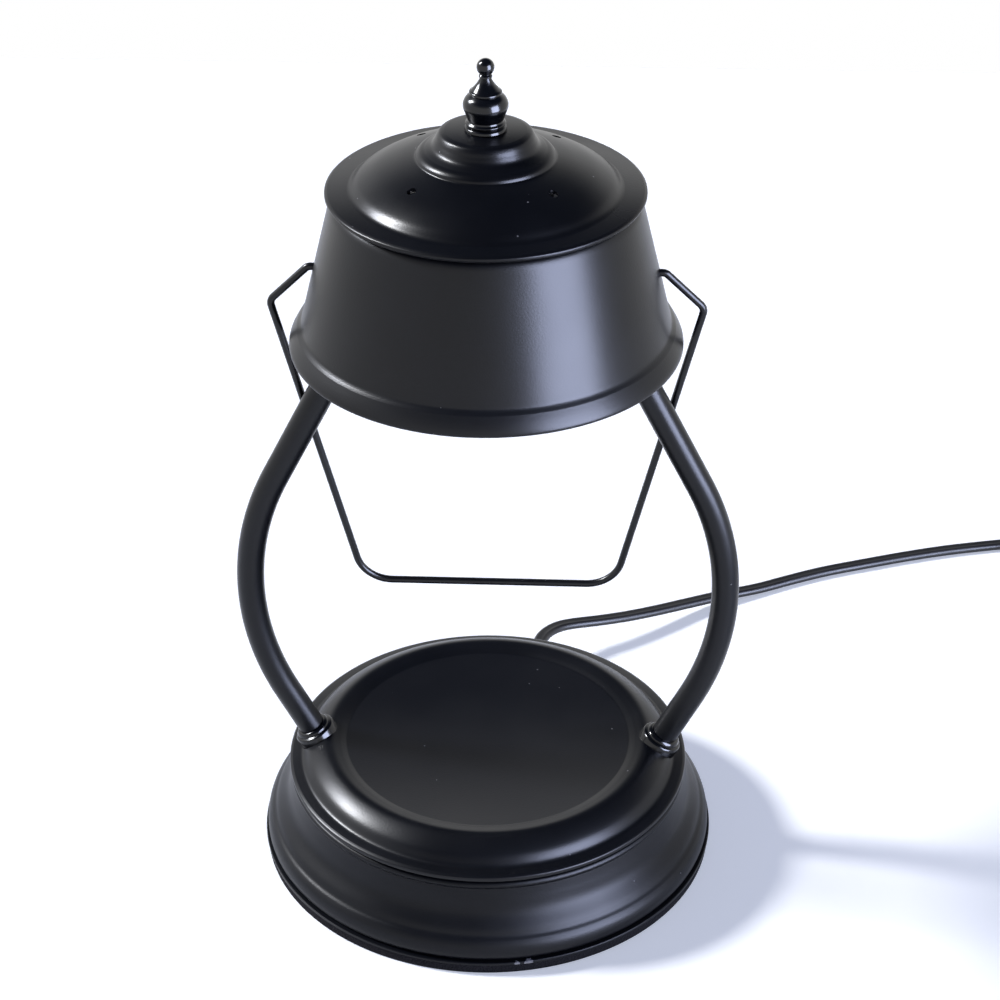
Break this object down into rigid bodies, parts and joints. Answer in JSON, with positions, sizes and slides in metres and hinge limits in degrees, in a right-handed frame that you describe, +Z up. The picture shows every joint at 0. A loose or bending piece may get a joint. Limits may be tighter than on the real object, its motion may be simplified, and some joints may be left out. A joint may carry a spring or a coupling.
{
  "type": "candle_warmer_lamp",
  "caption": "Black steel candle warmer lamp: spun lantern shade with a turned finial on two bowed tubes, a swinging wire bail, a round dished base and a mains cord with an in-line switch.",
  "frame": {"origin": "centre of the underside of the foam foot pad, on the table; the two bowed tubes stand in the XZ plane and the cord leaves at the back (+Y)", "axes": "+X to the right as seen from the front, towards the right-hand tube; +Y to the back, the side where the cord leaves; +Z up"},
  "size_m": [0.4318, 0.3121, 0.3236],
  "materials": {
    "black_paint": "satin black enamel on spun and pressed steel",
    "black_gloss": "gloss black enamel",
    "bare_steel": "zinc-plated steel, dull",
    "cast_iron": "rough cast iron, painted thinly",
    "foam_pad": "black closed-cell foam rubber",
    "cord_black": "matt black vinyl",
    "switch_black": "fine-textured black plastic",
    "rocker_black": "smooth black plastic",
    "holder_white": "white glazed ceramic lampholder and insulation",
    "lamp_glass": "clear pressed glass",
    "lamp_mirror": "aluminised reflector",
    "pin_brass": "nickelled brass"
  },
  "bodies": {
    "lamp": {"base_pad": "foam_pad", "bottom_plate": "black_paint", "base_skirt": "black_paint", "base_tray": "black_paint", "ballast_weight": "cast_iron", "centre_bolt": "bare_steel", "tray_nut": "bare_steel", "terminal_block": "holder_white", "base_leads": "cord_black", "cord_gland": "cord_black", "arm_left": "black_paint", "arm_right": "black_paint", "foot_ferrules": "black_gloss", "foot_nuts": "bare_steel", "arm_top_nuts": "bare_steel", "strap_bridge": "bare_steel", "lampholder": "holder_white", "holder_screws": "bare_steel", "lamp_leads": "holder_white", "bulb_reflector": "lamp_mirror", "bulb_lens": "lamp_glass", "bulb_base": "holder_white", "bulb_pins": "pin_brass", "shade": "black_paint", "shade_cap": "black_paint", "centre_rod": "bare_steel", "rod_nuts": "bare_steel", "finial": "black_gloss", "cord_lead": "cord_black", "cord_coil": "cord_black", "cord_tail": "cord_black", "cord_plug_lead": "cord_black", "cord_tie": "cord_black", "switch_lower": "switch_black", "switch_upper": "switch_black", "switch_contacts": "pin_brass", "switch_screws": "bare_steel", "plug_body": "switch_black", "plug_boot": "cord_black", "plug_pins": "pin_brass"},
    "bail": {"bail": "black_gloss", "bail_clips": "bare_steel"},
    "rocker": {"switch_rocker": "rocker_black"}
  },
  "joints": [
    {"name": "bail_swing", "type": "hinge", "parent": "lamp", "child": "bail", "pos_m": [0, 0, 0.2461], "axis": [1, 0, 0], "range_deg": [0, 347]},
    {"name": "switch_rocking", "type": "hinge", "parent": "lamp", "child": "rocker", "pos_m": [0.32, 0.092, 0.013], "axis": [-1, 0, 0], "range_deg": [0, 14]}
  ]
}
